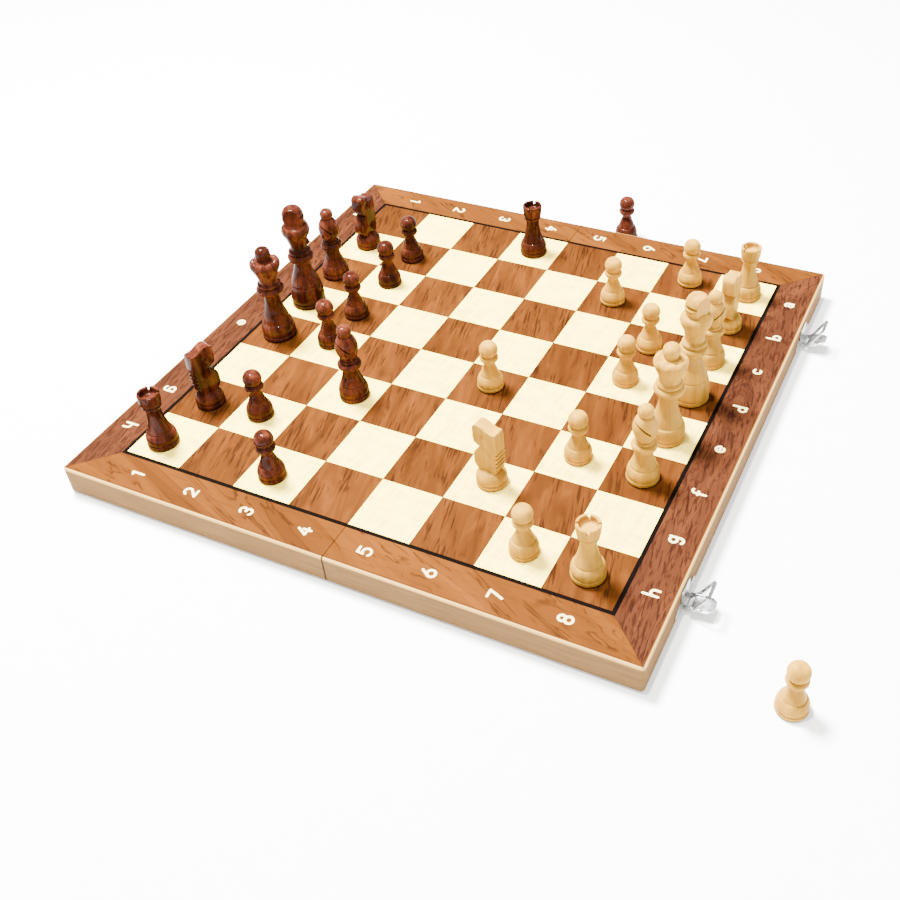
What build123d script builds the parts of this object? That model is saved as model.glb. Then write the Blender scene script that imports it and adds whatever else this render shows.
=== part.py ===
from build123d import *
import math
import os

# A wooden chess box that opens flat as a board, with its 32 chessmen in the middle of a game.
# Millimetres. +X runs along the numbered edges from rank 1 to rank 8, +Y runs along the fold from the
# h file to the a file, and +Z is up. The table is z = 0 and the fold lies on x = 0, at mid-board.

# ---- board
SQUARE = 41.5
BOARD_HALF = 195.0
GRID_HALF = 4 * SQUARE
LINE_WIDTH = 2.4
SEAM_HALF = 0.15              # half the gap between the two halves
JOINT_HALF = 0.15             # half the dark joint between neighbouring squares
VENEER = 0.6
PANEL = 4.0
WALL = 8.5
SEAM_WALL = 9.0
LIP = 2.0                     # pale top edge of the walls, outside the veneer
EDGE_ROUND = 1.4
CORNER_ROUND = 2.5
FOOT_ROUND = 0.5

FOLD_Z = 1.25                 # height of the hinge pins' axis
RIM_Z = FOLD_Z + 0.05         # the walls' lower edges, which meet when the box is shut
TOP_Z = RIM_Z + 19.7
PANEL_TOP = TOP_Z - VENEER
PANEL_LOW = PANEL_TOP - PANEL
VENEER_HALF = BOARD_HALF - LIP

# ---- butt hinges in the lower edges of the seam walls
HINGE_Y = (-118.0, 118.0)
LEAF_LENGTH = 38.0
LEAF_REACH = 8.4
LEAF_THICK = 1.0
KNUCKLE_R = 1.2
PIN_R = 0.6
KNUCKLE_GAP = 0.25
RUNNING = 0.05                # radial clearance of a turning fit
LEAF_START = 1.5              # the flat of a leaf starts here, clear of the other leaf's knuckles
WOOD_GAP = 0.35               # room around a knuckle in the wood
HINGE_SCREW_X = 5.2
HINGE_SCREW_STEP = 13.0

# ---- toggle latches on the right end wall, keepers on the left one
LATCH_Y = {"front": -130.0, "back": 130.0}
LEVER_REST = {"front": 8.0, "back": 20.0}      # degrees above level
BAIL_REST = 60.0
PLATE = 0.8
PIVOT_OUT = 2.9               # lever pin: distance out from the wall
PIVOT_Z = 4.6
BAIL_ARM = 3.6                # from the lever pin to the bail's pin, along the lever
BAIL_LENGTH = 17.4
LEVER_LENGTH = 15.5
LEVER_HALF = 5.8
LATCH_PIN_R = 0.6
KEEPER_BAR_Z = 11.7           # where the bail's bar sits in the keeper

# ---- chessmen
KING_FLAT = 5.2               # from the king's axis to the flats of its finial

# (kind, rank index, file index, nudge x, nudge y, heading in degrees); file index 7 is the a file
DARK_MEN = {
    "dark_rook_h": ("rook", 0, 0, -3.7, -4.6, 35),
    "dark_knight_g": ("knight", 0, 1, 0.2, -0.9, 70),
    "dark_queen": ("queen", 0, 3, -0.5, -0.7, 0),
    "dark_king": ("king", 0, 4, -2.9, 0.2, -68),
    "dark_bishop_c": ("bishop", 0, 5, -3.6, -2.1, -140),
    "dark_knight_b": ("knight", 0, 6, -1.7, 2.5, -95),
    "dark_bishop_f": ("bishop", 2, 2, 3.7, 1.1, -140),
    "dark_rook_a": ("rook", 3, 7, 1.0, -1.2, 10),
    "dark_pawn_b": ("pawn", 1, 6, -1.1, -1.8, 0),
    "dark_pawn_c": ("pawn", 1, 5, 0.0, 2.6, 0),
    "dark_pawn_d": ("pawn", 1, 4, -2.3, -0.9, 0),
    "dark_pawn_e": ("pawn", 1, 3, -1.3, 3.4, 0),
    "dark_pawn_g": ("pawn", 1, 1, -2.3, 1.3, 0),
    "dark_pawn_h": ("pawn", 2, 0, -2.6, -3.5, 0),
}
LIGHT_MEN = {
    "light_rook_h": ("rook", 7, 0, -0.8, -1.8, 20),
    "light_rook_a": ("rook", 7, 7, 3.5, 0.5, 60),
    "light_knight_g": ("knight", 5, 1, 0.7, 3.0, 171),
    "light_knight_b": ("knight", 7, 6, 2.4, -0.5, -92),
    "light_bishop_f": ("bishop", 7, 2, 0.1, -0.2, -140),
    "light_bishop_c": ("bishop", 7, 5, 2.8, -1.0, 20),
    "light_queen": ("queen", 7, 3, 0.6, -1.0, 0),
    "light_king": ("king", 7, 4, 2.1, 0.0, -25),
    "light_pawn_b": ("pawn", 5, 6, -0.9, 0.7, 0),
    "light_pawn_c": ("pawn", 6, 5, 1.5, -1.5, 0),
    "light_pawn_d": ("pawn", 6, 4, -1.0, 0.1, 0),
    "light_pawn_e": ("pawn", 4, 3, 1.1, 2.6, 0),
    "light_pawn_f": ("pawn", 6, 2, -1.1, 1.6, 0),
    "light_pawn_h": ("pawn", 6, 0, 0.9, 0.2, 0),
    "light_pawn_a": ("pawn", 6, 7, 1.9, 2.3, 0),
}
# pawns taken and stood on the table: x, y
TAKEN_PAWNS = {
    "dark_pawn_a_taken": (27.5, 223.5),
    "dark_pawn_f_taken": (-206.0, 99.0),
    "light_pawn_g_taken": (266.6, -172.6),
}

# Turned outlines, from the wood's foot up: (radius, height). "edge" marks a crisp edge or a straight run.
KING_TURNING = (
    (11.9, 0.6), "edge", (12.3, 1.0), "edge", (12.3, 3.2), "edge",
    (11.6, 3.9), "edge",
    (12.15, 4.6), (12.3, 7.5), (11.7, 13.6), (10.9, 17.0), "edge",
    (10.3, 17.5), "edge",
    (10.55, 18.1), (9.6, 21.5), (8.0, 25.6), (6.5, 30.0), (5.75, 33.2), (5.7, 35.5), "edge",
    (6.6, 36.6), (8.6, 38.0), (9.35, 39.9), (9.0, 41.4), (7.9, 42.4), "edge",
    (7.0, 43.0), "edge",
    (7.9, 43.9), (7.9, 45.1), (7.0, 46.1), "edge",
    (6.1, 47.0), (6.1, 49.5), (7.7, 55.5), (9.2, 58.7), (10.1, 61.6), (9.5, 64.3), (8.2, 65.3), "edge",
    (6.5, 65.8), "edge",
    (6.5, 66.8), (7.5, 69.2), (7.9, 71.8), (7.6, 74.6), (6.5, 77.3), (4.4, 79.3), (0, 80.0),
)
QUEEN_TURNING = (
    (11.6, 0.6), "edge", (12.0, 1.0), "edge", (12.0, 3.0), "edge",
    (11.2, 3.7), "edge",
    (11.7, 4.4), (11.8, 7.0), (11.4, 10.0), (10.7, 12.2), "edge",
    (9.8, 12.7), "edge",
    (9.6, 13.4), (8.7, 17.0), (7.3, 21.4), (6.3, 25.4), (5.6, 30.0), (5.5, 34.3), "edge",
    (6.5, 35.6), (8.6, 36.9), (9.7, 38.8), (9.3, 40.4), (8.3, 41.3), "edge",
    (7.3, 41.8), "edge",
    (8.0, 42.6), (8.2, 43.7), (7.4, 44.8), "edge",
    (6.6, 45.6), (6.9, 48.5), (8.2, 52.5), (9.6, 55.6), (10.5, 58.2), (10.3, 60.6),
    (9.0, 62.2), (7.4, 62.5), "edge",
    (5.6, 62.0), "edge", (4.6, 62.2), "edge",
    (4.4, 63.4), (5.1, 65.4), (5.3, 67.4), (4.7, 69.8), (2.9, 71.4), (0, 72.0),
)
BISHOP_TURNING = (
    (9.9, 0.6), "edge", (10.2, 1.0), "edge", (10.2, 3.0), "edge",
    (9.5, 3.7), "edge",
    (9.9, 4.3), (9.95, 6.5), (9.4, 9.0), (8.7, 10.6), "edge",
    (7.9, 11.1), "edge",
    (8.1, 11.8), (7.5, 13.6), (6.5, 16.2), (5.7, 19.0), (5.3, 22.0), (5.4, 23.4), "edge",
    (6.2, 24.1), (7.5, 25.1), (7.9, 26.7), (7.5, 28.2), (6.4, 29.0), "edge",
    (5.5, 29.4), "edge",
    (6.1, 30.1), (6.0, 30.9), (5.0, 31.6), "edge",
    (5.2, 32.4), (6.3, 34.6), (7.2, 37.4), (7.5, 40.4), (7.2, 43.4), (6.3, 46.2), (5.0, 48.4),
    (3.9, 49.6), "edge",
    (4.5, 50.7), (4.8, 52.4), (4.3, 54.6), (2.8, 56.1), (0, 56.6),
)
ROOK_TURNING = (
    (9.9, 0.6), "edge", (10.2, 1.0), "edge", (10.2, 3.2), "edge",
    (9.5, 3.9), "edge",
    (9.9, 4.5), (10.0, 6.6), (9.5, 8.8), (8.6, 10.6), "edge",
    (7.7, 11.2), "edge",
    (7.8, 12.0), (7.0, 14.4), (6.0, 18.0), (5.1, 22.4), (4.7, 26.0), (4.9, 29.4), "edge",
    (5.8, 30.2), (6.2, 31.1), (5.8, 32.0), "edge",
    (5.5, 32.3), "edge",
    (6.4, 33.1), (6.8, 34.6), (7.1, 37.6), (7.2, 40.2), "edge",
    (7.1, 41.0), "edge", (6.8, 41.3), "edge", (5.7, 41.3), "edge",
    (5.3, 40.4), (5.2, 38.6), (4.2, 37.2), (0, 36.8),
)
PAWN_TURNING = (
    (8.6, 0.6), "edge", (8.95, 1.0), "edge", (8.95, 2.6), "edge",
    (8.3, 3.2), "edge",
    (8.7, 3.8), (8.8, 5.4), (8.4, 7.4), (7.6, 9.3), (7.2, 10.0), "edge",
    (6.5, 10.4), "edge",
    (5.9, 12.6), (4.9, 15.4), (4.0, 17.8), (3.6, 19.6), "edge",
    (3.9, 20.6), (5.0, 21.8), (6.0, 23.2), (6.2, 24.8), (5.3, 26.2), "edge",
    (4.6, 26.6), "edge",
    (5.3, 27.4), (6.1, 29.4), (6.0, 31.8), (4.7, 34.4), (2.8, 35.6), (0, 36.0),
)
KNIGHT_TURNING = (
    (9.4, 0.6), "edge", (9.7, 1.0), "edge", (9.7, 3.0), "edge",
    (9.0, 3.6), "edge",
    (9.4, 4.2), (9.6, 5.9), (9.2, 7.8), (8.1, 9.5), (6.2, 10.9), (0, 12.0),
)
TURNINGS = {
    "king": KING_TURNING,
    "queen": QUEEN_TURNING,
    "bishop": BISHOP_TURNING,
    "rook": ROOK_TURNING,
    "pawn": PAWN_TURNING,
    "knight": KNIGHT_TURNING,
}

# The knight's sawn outline, round from the chest to the mane: (forward, height)
KNIGHT_CHEST = ((4.2, 10.6), (6.8, 12.4), (8.9, 16.0), (9.4, 19.8), (8.6, 23.4), (6.4, 27.2), (3.4, 29.6))
KNIGHT_JAW = ((3.4, 29.6), (4.9, 30.4), (7.2, 31.5), (8.9, 33.4))
KNIGHT_FACE = ((8.3, 34.2), (9.6, 36.4), (9.8, 39.4), (9.2, 42.6), (7.6, 44.8), (5.2, 45.6))
KNIGHT_POLL = ((5.2, 45.6), (2.4, 44.8), (-0.8, 43.2), (-3.8, 42.3), (-6.9, 42.4))
KNIGHT_MANE = ((-6.9, 42.4), (-7.6, 40.4), (-7.8, 34.0), (-8.0, 24.0), (-7.9, 17.0), (-6.6, 12.6), (-4.2, 10.6))
KNIGHT_HALF_THICK = 4.2
KNIGHT_BLANK_R = 9.8
MANE_CUTS = (15.5, 18.5, 21.5, 24.5, 27.5)
EYE = (2.6, 37.6)

FELT = 0.6                    # felt pad under each man, inset from its foot
FELT_INSET = 0.5

LINING = 0.8                  # felt inside the box
LINING_GAP = 0.2

# ---- coordinates along the border: strokes on a 10 mm high letter, pen 1.6 mm wide
PEN_R = 0.8
LABEL_THICK = 0.1
LABEL_ROW = (GRID_HALF + LINE_WIDTH + VENEER_HALF) / 2
# A stroke is a run of points, or ("arc", centre x, centre y, radius, start degrees, sweep degrees).
GLYPHS = {
    "1": [[(1.2, 8.0), (3.0, 9.1), (3.0, 0.9)]],
    "2": [("arc", 3.2, 6.6, 2.5, 165, -200), [(5.25, 5.17), (0.9, 0.9), (5.8, 0.9)]],
    "3": [("arc", 2.9, 6.95, 2.15, 150, -240), ("arc", 2.9, 3.1, 2.2, 90, -240)],
    "4": [[(4.2, 9.1), (0.9, 3.2), (6.0, 3.2)], [(4.6, 6.0), (4.6, 0.9)]],
    "5": [[(5.4, 9.1), (1.6, 9.1), (1.3, 5.4)], ("arc", 3.1, 3.6, 2.7, 135, -275)],
    "6": [("arc", 3.3, 3.4, 2.5, 0, 360), [(0.9, 4.2), (4.2, 9.1)]],
    "7": [[(0.9, 9.1), (5.8, 9.1), (2.6, 0.9)]],
    "8": [("arc", 3.2, 7.1, 2.0, 0, 360), ("arc", 3.2, 3.1, 2.3, 0, 360)],
    "a": [("arc", 3.1, 4.3, 2.1, 150, -150), [(5.2, 4.3), (5.2, 0.9)], ("arc", 2.8, 2.4, 1.6, 0, 360)],
    "b": [[(1.0, 9.4), (1.0, 0.9)], ("arc", 3.2, 3.1, 2.2, 0, 360)],
    "c": [("arc", 3.2, 3.1, 2.3, 50, 260)],
    "d": [[(5.4, 9.4), (5.4, 0.9)], ("arc", 3.2, 3.1, 2.2, 0, 360)],
    "e": [("arc", 3.2, 3.1, 2.5, 0, 305), [(1.2, 3.1), (5.7, 3.1)]],
    "f": [("arc", 3.6, 7.4, 1.9, 60, 120), [(1.7, 7.4), (1.7, 0.9)], [(0.6, 5.6), (3.6, 5.6)]],
    "g": [("arc", 3.0, 3.1, 2.2, 0, 360), [(5.2, 5.4), (5.2, -0.6)], ("arc", 3.1, -0.6, 2.1, 0, -140)],
    "h": [[(1.0, 9.4), (1.0, 0.9)], ("arc", 3.1, 3.4, 2.1, 180, -180), [(5.2, 3.4), (5.2, 0.9)]],
}
FILES = "hgfedcba"            # from the front edge to the back edge


# ------------------------------------------------------------------ board

def slab(x0, x1, y0, y1, z0, z1):
    """A block given by its limits."""
    block = Box(x1 - x0, y1 - y0, z1 - z0)
    return Pos((x0 + x1) / 2, (y0 + y1) / 2, (z0 + z1) / 2) * block


def prism(corners, z0, z1):
    """A flat polygon carried up from z0 to z1."""
    face = make_face(Polyline(*corners, close=True))
    return extrude(Pos(0, 0, z0) * face, z1 - z0)


def side_x(side, x0, x1):
    """Limits in x on the right half (side 1) or mirrored on the left half (side -1)."""
    return (x0, x1) if side > 0 else (-x1, -x0)


def half_envelope(side):
    """The outer shape of one half, with its rounded outer corners and edges."""
    x0, x1 = side_x(side, SEAM_HALF, BOARD_HALF)
    block = slab(x0, x1, -BOARD_HALF, BOARD_HALF, RIM_Z, TOP_Z)
    corners = [e for e in block.edges().filter_by(Axis.Z) if abs(e.center().X) > 1]
    block = fillet(corners, CORNER_ROUND)
    seam_x = side * SEAM_HALF
    top = [e for e in block.edges() if e.center().Z > TOP_Z - 0.01 and abs(e.center().X - seam_x) > 0.01]
    block = fillet(top, EDGE_ROUND)
    low = [e for e in block.edges() if e.center().Z < RIM_Z + 0.01 and abs(e.center().X - seam_x) > 0.01]
    return fillet(low, FOOT_ROUND)


def wall_blanks(side):
    """The end wall and the two side walls of a half, mitred at the outer corners."""
    out, inn, seam = BOARD_HALF, BOARD_HALF - WALL, SEAM_HALF
    end = [(out, -out), (out, out), (inn, inn), (inn, -inn)]
    sides = []
    for y in (-1, 1):
        sides.append([(seam, y * out), (out, y * out), (inn, y * inn), (seam, y * inn)])
    blanks = []
    for corners in [end] + sides:
        blanks.append(prism([(side * x, y) for x, y in corners], RIM_Z, TOP_Z))
    return blanks[0], blanks[1:]


def panel_room(side):
    """The rebate in the walls' upper inside edge that holds the panel and its veneer."""
    x0, x1 = side_x(side, 0, VENEER_HALF)
    return slab(x0, x1, -VENEER_HALF, VENEER_HALF, PANEL_LOW, TOP_Z + 1)


def seam_wall(side):
    """The inner wall along the fold, let in for the hinges' leaves and knuckles."""
    x0, x1 = side_x(side, SEAM_HALF, SEAM_HALF + SEAM_WALL)
    inner = BOARD_HALF - WALL
    wall = slab(x0, x1, -inner, inner, RIM_Z, PANEL_LOW)
    half = LEAF_LENGTH / 2
    for y in HINGE_Y:
        a, b = side_x(side, 0, LEAF_REACH)
        wall -= slab(a, b, y - half, y + half, RIM_Z - 1, RIM_Z + LEAF_THICK)
        a, b = side_x(side, 0, KNUCKLE_R + WOOD_GAP)
        wall -= slab(a, b, y - half - WOOD_GAP, y + half + WOOD_GAP, RIM_Z - 1, FOLD_Z + KNUCKLE_R + WOOD_GAP)
    for screw in hinge_screws(side, 0):
        wall -= screw
    return wall


def border_veneer(side):
    """The mitred strips of veneer round the playing squares of one half."""
    low, high = GRID_HALF + LINE_WIDTH, VENEER_HALF
    end = [(low, -low), (high, -high), (high, high), (low, low)]
    strips = [end]
    for y in (-1, 1):
        strips.append([(SEAM_HALF, y * low), (low, y * low), (high, y * high), (SEAM_HALF, y * high)])
    return [prism([(side * x, y) for x, y in strip], PANEL_TOP, TOP_Z) for strip in strips]


def inlay_line(side):
    """The black line round the squares: one three-sided strip a half."""
    x0, x1 = side_x(side, SEAM_HALF, GRID_HALF + LINE_WIDTH)
    outer = GRID_HALF + LINE_WIDTH
    ring = slab(x0, x1, -outer, outer, PANEL_TOP, TOP_Z)
    a, b = side_x(side, 0, GRID_HALF)
    return ring - slab(a, b, -GRID_HALF, GRID_HALF, PANEL_TOP - 1, TOP_Z + 1)


def squares(side, dark):
    """The veneer squares of one colour on one half."""
    made = []
    ranks = range(4, 8) if side > 0 else range(4)
    for i in ranks:
        for j in range(8):
            if (i + j) % 2 == dark:
                x, y = square_centre(i, j)
                reach = SQUARE / 2 - JOINT_HALF
                made.append(slab(x - reach, x + reach, y - reach, y + reach, PANEL_TOP, TOP_Z))
    return made


def lining(side):
    """The felt glued under the panel, inside the box."""
    x0, x1 = side_x(side, SEAM_HALF + SEAM_WALL + LINING_GAP, BOARD_HALF - WALL - LINING_GAP)
    reach = BOARD_HALF - WALL - LINING_GAP
    return slab(x0, x1, -reach, reach, PANEL_LOW - LINING, PANEL_LOW)


def glyph(letter):
    """One letter or digit drawn with a round pen, centred on the origin."""
    drawn = Sketch()
    for stroke in GLYPHS[letter]:
        if stroke[0] != "arc":
            drawn += link(stroke, PEN_R)
            continue
        _, x, y, radius, start, sweep = stroke
        ring = Circle(radius + PEN_R) - Circle(radius - PEN_R)
        if abs(sweep) < 360:
            ring -= open_wedge(start + sweep, 360 - abs(sweep), 1 if sweep > 0 else -1)
            for angle in (start, start + sweep):
                end = math.radians(angle)
                ring += Pos(radius * math.cos(end), radius * math.sin(end)) * Circle(PEN_R)
        drawn += Pos(x, y) * ring
    return Pos(*(-1 * drawn.bounding_box().center())) * drawn


def open_wedge(start, sweep, way):
    """The gap in a partial ring, as a fan of points round the origin."""
    steps = max(2, math.ceil(sweep / 60))
    fan = [(0, 0)]
    for n in range(steps + 1):
        angle = math.radians(start + way * sweep * n / steps)
        fan.append((9 * math.cos(angle), 9 * math.sin(angle)))
    return make_face(Polyline(*fan, close=True))


def labels(side):
    """Numbers along the front and back edges of a half, and letters along its end."""
    made = []
    spots = []
    for i in range(4, 8) if side > 0 else range(4):
        x = square_centre(i, 0)[0]
        spots.append((str(i + 1), x, -LABEL_ROW, 90))
        spots.append((str(i + 1), x, LABEL_ROW, -90))
    for j in range(8):
        y = square_centre(0, j)[1]
        spots.append((FILES[j], side * LABEL_ROW, y, side * 90))
    for letter, x, y, turn in spots:
        made.append(Pos(x, y, TOP_Z) * Rot(0, 0, turn) * extrude(glyph(letter), LABEL_THICK))
    return made


def square_centre(i, j):
    """The middle of the square on rank index i and file index j."""
    return (i - 3.5) * SQUARE, (j - 3.5) * SQUARE


def screw(head_r, head_depth, shank_r, length, slot):
    """A countersunk slotted wood screw along +Z with its flat head at z = 0."""
    outline = [(0, 0), (head_r, 0), (shank_r, head_depth), (shank_r, length - shank_r), (0, length)]
    body = revolve(Plane.XZ * make_face(Polyline(*outline, close=True)), Axis.Z)
    if slot:
        body -= Pos(0, 0, slot / 2) * Box(2 * head_r + 1, 0.5, slot)
    return body


def hinge_screws(side, slot=0.35):
    """The three screws up through each hinge leaf into the seam wall."""
    made = []
    for y in HINGE_Y:
        for step in (-1, 0, 1):
            place = Pos(side * HINGE_SCREW_X, y + step * HINGE_SCREW_STEP, RIM_Z)
            made.append(place * screw(1.7, 0.95, 0.8, 8.5, slot))
    return made


# ------------------------------------------------------------------ hinges

def knuckle_spans(side):
    """The stretches of knuckle along the pin: two on the left leaf, one between them on the right."""
    third = (LEAF_LENGTH - 2 * KNUCKLE_GAP) / 3
    if side > 0:
        return [(-third / 2, third / 2)]
    inner = third / 2 + KNUCKLE_GAP
    return [(-LEAF_LENGTH / 2, -inner), (inner, LEAF_LENGTH / 2)]


def rod_y(x, z, radius, y0, y1):
    """A round bar along Y."""
    return Pos(x, (y0 + y1) / 2, z) * Rot(90, 0, 0) * Cylinder(radius, y1 - y0)


def hinge_leaf(side, y):
    """One leaf with its knuckles, drilled for its pin and screws."""
    half = LEAF_LENGTH / 2
    x0, x1 = side_x(side, LEAF_START, LEAF_REACH)
    leaf = slab(x0, x1, y - half, y + half, RIM_Z, RIM_Z + LEAF_THICK)
    for a, b in knuckle_spans(side):
        leaf += rod_y(0, FOLD_Z, KNUCKLE_R, y + a, y + b)
        x0, x1 = side_x(side, 0, LEAF_START + 0.1)
        leaf += slab(x0, x1, y + a, y + b, RIM_Z, RIM_Z + LEAF_THICK)
    bore = PIN_R + RUNNING if side > 0 else PIN_R
    leaf -= rod_y(0, FOLD_Z, bore, y - half - 1, y + half + 1)
    for made in hinge_screws(side, 0):
        leaf -= made
    return leaf


def hinge_pins():
    half = LEAF_LENGTH / 2
    return [rod_y(0, FOLD_Z, PIN_R, y - half, y + half) for y in HINGE_Y]


# ------------------------------------------------------------------ latches

def across(profile, half_width):
    """A profile drawn as (out from the wall, height), carried half_width each way along Y."""
    return extrude(Plane.XZ * profile, half_width, both=True)


def link(points, radius):
    """The outline round a chain of equal discs: a bar with round ends."""
    bar = Pos(*points[0]) * Circle(radius)
    for a, b in zip(points, points[1:]):
        run = Vector(b[0] - a[0], b[1] - a[1], 0)
        middle = ((a[0] + b[0]) / 2, (a[1] + b[1]) / 2)
        turn = math.degrees(math.atan2(run.Y, run.X))
        bar += Pos(*middle) * Rot(0, 0, turn) * Rectangle(run.length, 2 * radius)
        bar += Pos(*b) * Circle(radius)
    return bar


def tilted(angle, *steps):
    """Points given as (along, up) in a frame turned by angle, from the lever's pin."""
    c, s = math.cos(math.radians(angle)), math.sin(math.radians(angle))
    return [(PIVOT_OUT + a * c - u * s, PIVOT_Z + a * s + u * c) for a, u in steps]


def on_right_wall(shape, y):
    return Pos(BOARD_HALF, y, 0) * shape


def on_left_wall(shape, y):
    return Pos(-BOARD_HALF, y, 0) * Rot(0, 0, 180) * shape


def ear_plate(ear_y, ear_z, half_width, low, high):
    """A thin plate against the wall: a round-topped middle and two round screw ears."""
    middle = Pos(0, (low + high) / 2) * RectangleRounded(2 * half_width, high - low, 2.4)
    ears = link([(-ear_y, ear_z), (ear_y, ear_z)], 3.6)
    face = Plane.YZ * (middle + ears)
    return extrude(face, PLATE)


EAR_Y = 13.0
LATCH_EAR_Z = 6.4
KEEPER_EAR_Z = 11.0
PLATE_SCREW = (2.1, 1.0, 0.9, 8.0)     # head radius, head depth, shank radius, length


def wall_screws(ear_z, slot=0.4):
    """The two screws through a plate's ears into the wall, their heads flush with the plate."""
    made = []
    for y in (-EAR_Y, EAR_Y):
        head_r, depth, shank_r, length = PLATE_SCREW
        made.append(Pos(PLATE, y, ear_z) * Rot(0, -90, 0) * screw(head_r, depth, shank_r, length, slot))
    return made


def latch_plate():
    """The plate that is screwed to the wall, with two cheeks that hold the lever's pin."""
    plate = ear_plate(EAR_Y, LATCH_EAR_Z, 7.2, 2.6, 17.0)
    cheek = Pos(PLATE / 2 + 0.4, PIVOT_Z) * Rectangle(PLATE + 0.8, 4.0)
    cheek += link([(PLATE, PIVOT_Z), (PIVOT_OUT, PIVOT_Z)], 1.5)
    cheek = cheek & Pos(PLATE + 5, PIVOT_Z) * Rectangle(10 + 2 * PLATE - 0.8, 10)
    for y in (-1, 1):
        plate += Pos(0, y * 4.3, 0) * across(cheek, 0.4)
    plate -= Pos(PIVOT_OUT, 0, PIVOT_Z) * Rot(90, 0, 0) * Cylinder(LATCH_PIN_R, 20)
    for made in wall_screws(LATCH_EAR_Z, 0):
        plate -= made
    return plate


def latch_pin():
    """The lever's pin, fixed in the plate's cheeks."""
    return Pos(PIVOT_OUT, 0, PIVOT_Z) * Rot(90, 0, 0) * Cylinder(LATCH_PIN_R, 2 * LEVER_HALF)


def latch_lever(rest):
    """A duck-bill lever: a flat paddle with two side flanges on the pin and two studs for the bail."""
    paddle_start = 2.4
    tip = LEVER_LENGTH
    outline = [(paddle_start, -LEVER_HALF), (tip - 3.0, -LEVER_HALF), (tip, -3.2), (tip, 3.2),
               (tip - 3.0, LEVER_HALF), (paddle_start, LEVER_HALF)]
    face = make_face(Polyline(*outline, close=True))
    paddle = Pos(0, 0, -0.45) * extrude(face, 0.9)
    paddle = fillet(paddle.edges().filter_by(Axis.Z).group_by(Axis.X)[-1], 2.0)
    lever = Pos(PIVOT_OUT, 0, PIVOT_Z) * Rot(0, -rest, 0) * paddle
    flange = link(tilted(rest, (0, 0), (BAIL_ARM, 0), (8.0, 0)), 1.5)
    for y in (-1, 1):
        lever += Pos(0, y * (LEVER_HALF - 0.4), 0) * across(flange, 0.4)
    stud_x, stud_z = tilted(rest, (BAIL_ARM, 0))[0]
    for y in (-1, 1):
        lever += Pos(stud_x, y * (LEVER_HALF + 0.8), stud_z) * Rot(90, 0, 0) * Cylinder(LATCH_PIN_R, 1.6)
    return lever - Pos(PIVOT_OUT, 0, PIVOT_Z) * Rot(90, 0, 0) * Cylinder(LATCH_PIN_R + RUNNING, 20)


def latch_bail(rest):
    """A flat U-shaped loop on the lever's studs, which hooks over the keeper."""
    inner, thick = LEVER_HALF + 0.3, 1.2
    outer = inner + thick
    arms = Pos(BAIL_LENGTH / 2, 0) * Rectangle(BAIL_LENGTH + 1.6, 2 * outer)
    arms -= Pos(BAIL_LENGTH / 2 - 2, 0) * Rectangle(BAIL_LENGTH + 2.4, 2 * inner)
    loop = Pos(0, 0, -0.8) * extrude(arms, 1.6)
    end_corners = loop.edges().filter_by(Axis.Z).group_by(Axis.X)[-1]
    loop = fillet(end_corners, 2.6)
    for y in (-1, 1):
        loop += Pos(0, y * (inner + thick / 2), 0) * Rot(90, 0, 0) * Cylinder(1.4, thick)
    loop -= Rot(90, 0, 0) * Cylinder(LATCH_PIN_R + RUNNING, 40)
    x, z = tilted(rest, (BAIL_ARM, 0))[0]
    return Pos(x, 0, z) * Rot(0, -BAIL_REST, 0) * loop


def keeper():
    """The keeper: a plate with a hook that the bail's end bar drops into."""
    plate = ear_plate(EAR_Y, KEEPER_EAR_Z, 6.4, 4.0, 17.0)
    floor = KEEPER_BAR_Z - 2.2
    hook = Pos(3.0, floor + 0.5) * Rectangle(4.4, 1.0)
    hook += Pos(4.8, floor + 1.6) * Rectangle(0.8, 3.2)
    plate += across(hook, 5.2)
    for made in wall_screws(KEEPER_EAR_Z, 0):
        plate -= made
    return plate


# ------------------------------------------------------------------ chessmen

def turned(steps):
    """A lathe-turned solid from (radius, height) steps; each "edge" breaks the smooth curve."""
    runs, run = [], [steps[0]]
    for step in steps[1:]:
        if step == "edge":
            runs.append(run)
            run = [run[-1]]
        else:
            run.append(step)
    runs.append(run)
    edges = [Line((0, steps[0][1]), steps[0])]
    for run in runs:
        if len(run) == 2:
            edges.append(Line(*run))
        elif len(run) > 2 and run[-1][0] == 0:
            start = (run[1][0] - run[0][0], run[1][1] - run[0][1])
            edges.append(Spline(*run, tangents=[start, (-1, 0)]))
        elif len(run) > 2:
            edges.append(Spline(*run))
    edges.append(Line(steps[-1], (0, steps[0][1])))
    return revolve(Plane.XZ * make_face(edges), Axis.Z)


def felt_pad(kind):
    """The felt glued under a man's foot."""
    foot_r = max(step[0] for step in TURNINGS[kind][:5] if step != "edge")
    return Pos(0, 0, FELT / 2) * Cylinder(foot_r - FELT_INSET, FELT)


def king():
    """The king: a domed finial with two flats and a notch in each of its round sides."""
    man = turned(KING_TURNING)
    for x in (-1, 1):
        man -= Pos(x * (KING_FLAT + 3), 0, 73.5) * Box(6, 20, 13.4)
    notch = make_face(Polyline((5.4, 73.0), (9.0, 74.2), (9.0, 71.8), close=True))
    for turn in (-90, 90):
        man -= Rot(0, 0, turn) * extrude(Plane.XZ * notch, 12, both=True)
    return man


def queen():
    """The queen: a ball in a coronet with scallops cut in its rim."""
    man = turned(QUEEN_TURNING)
    for n in range(8):
        cut = Pos(10.2, 0, 64.4) * Rot(0, 62, 0) * Cylinder(2.4, 9)
        man -= Rot(0, 0, 45 * n) * cut
    return man


def bishop():
    """The bishop: a mitre with one slanting saw cut."""
    man = turned(BISHOP_TURNING)
    cut = Pos(3.9, 0, 43.3) * Rot(0, -41, 0) * Box(13, 20, 1.1)
    return man - cut


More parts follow.
